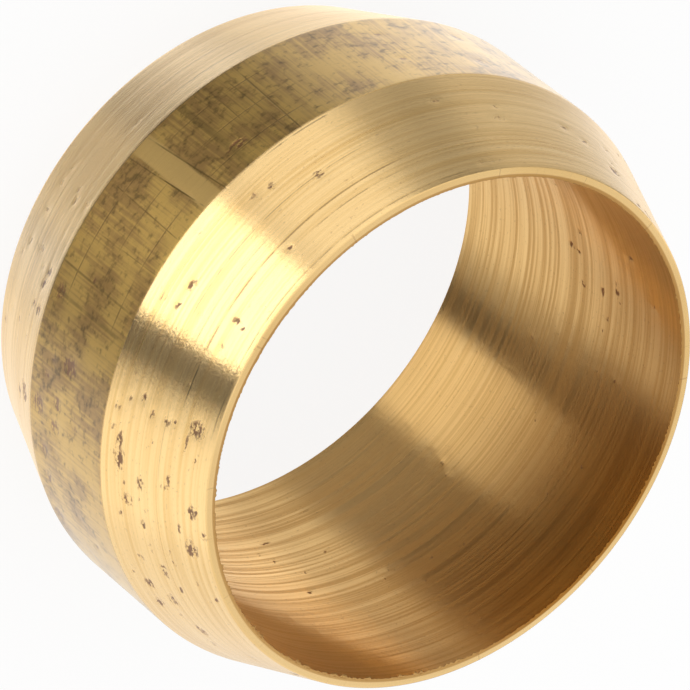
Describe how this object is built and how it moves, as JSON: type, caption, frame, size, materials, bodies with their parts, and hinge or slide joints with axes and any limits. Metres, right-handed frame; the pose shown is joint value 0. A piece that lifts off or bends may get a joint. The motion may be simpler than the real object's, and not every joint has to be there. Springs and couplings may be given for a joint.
{
  "type": "compression olive",
  "caption": "Brass compression ring with a plain through bore, a cylindrical land and a cone at each end; squeezed onto a tube to seal a fitting.",
  "frame": {"origin": "middle of the lower end face, on the bore's axis, on the surface that the ring stands on", "axes": "+Z along the bore's axis, up through the ring; X and Y are any two directions across it"},
  "size_m": [0.012, 0.012, 0.007],
  "materials": {
    "turned_brass": "turned brass with fine machining rings, tarnish on the land and small brown specks"
  },
  "bodies": {
    "root": {"ferrule": "turned_brass"}
  },
  "joints": []
}
